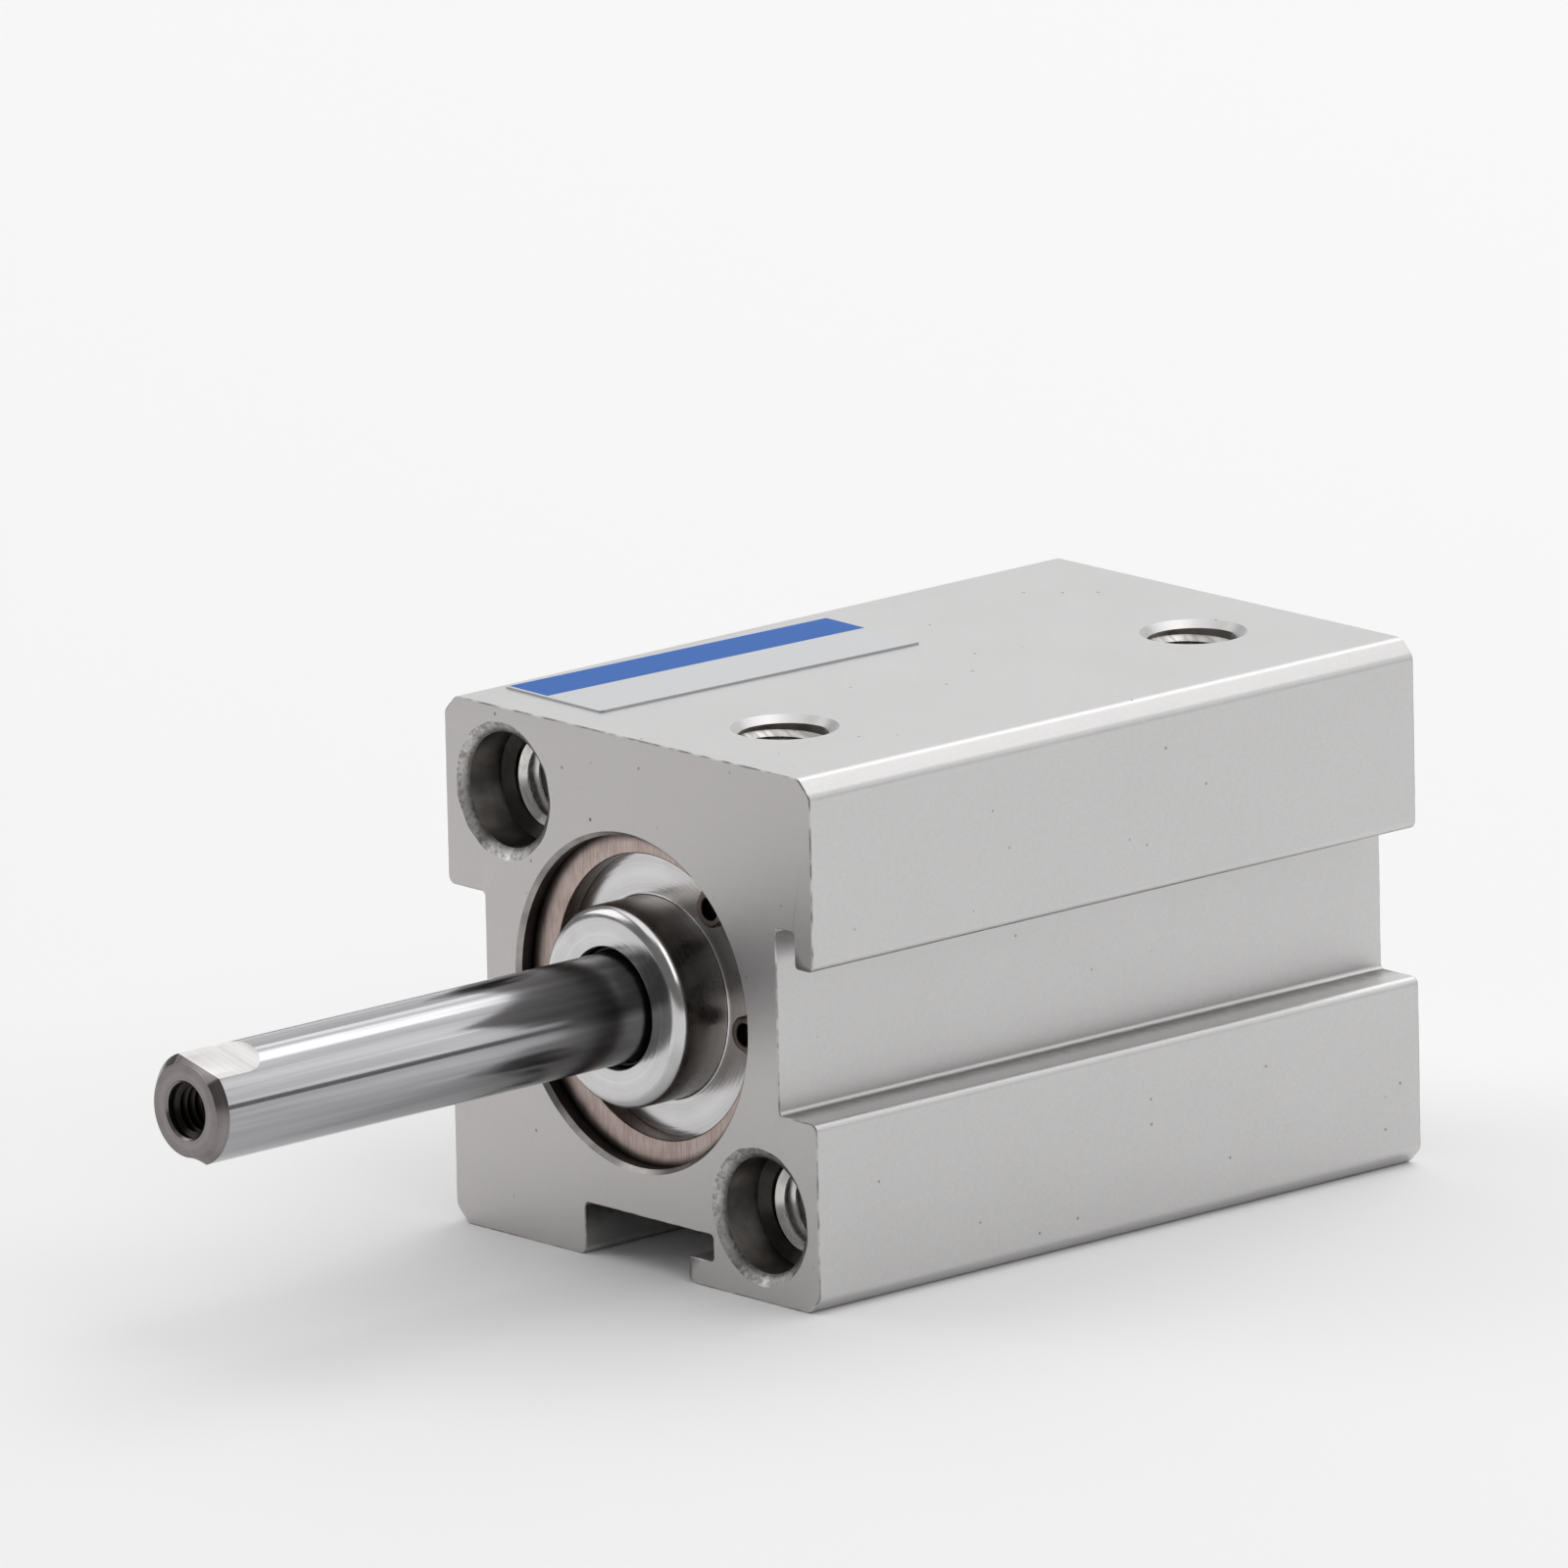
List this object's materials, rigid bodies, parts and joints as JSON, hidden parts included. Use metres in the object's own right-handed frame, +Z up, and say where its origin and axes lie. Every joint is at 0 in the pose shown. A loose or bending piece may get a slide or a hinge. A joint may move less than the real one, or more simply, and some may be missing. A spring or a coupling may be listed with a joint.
{
  "type": "compact pneumatic cylinder",
  "caption": "Square-bodied compact double-acting air cylinder; its chromed rod slides out through a boss in the front cover, with threaded air ports and sensor grooves.",
  "frame": {"origin": "rod axis at the front mounting face", "axes": "+X along the rod, out of the front face; +Z up through the ported face; +Y to the right as seen from the front"},
  "size_m": [0.0746, 0.029, 0.0291],
  "materials": {
    "body_alloy": "satin anodised extrusion",
    "cover_alloy": "bright turned",
    "piston_alloy": "turned",
    "rod_chrome": "hard chromed and polished",
    "spring_steel": "tempered brown",
    "bush_bronze": "sintered",
    "black_rubber": "moulded",
    "bumper_urethane": "moulded",
    "wear_band": "cut band",
    "label_film": "printed film, blue band"
  },
  "bodies": {
    "barrel": {"barrel": "body_alloy", "front_cover": "cover_alloy", "front_cover_o_ring": "black_rubber", "rod_packing": "black_rubber", "rod_bush": "bush_bronze", "front_retaining_ring": "spring_steel", "rear_cover": "cover_alloy", "rear_cover_o_ring": "black_rubber", "label": "label_film"},
    "piston_rings": {"piston_seal": "black_rubber", "wear_ring": "wear_band"},
    "rod": {"piston_rod": "rod_chrome", "piston": "piston_alloy", "piston_o_ring": "black_rubber", "front_bumper": "bumper_urethane", "rear_bumper": "bumper_urethane"}
  },
  "joints": [
    {"name": "rod_slide", "type": "slide", "parent": "barrel", "child": "piston_rings", "axis": [1, 0, 0], "range_m": [-0.025, 0]},
    {"name": "rod_turn", "type": "hinge", "parent": "piston_rings", "child": "rod", "pos_m": [0, 0, 0], "axis": [1, 0, 0], "continuous": true}
  ]
}
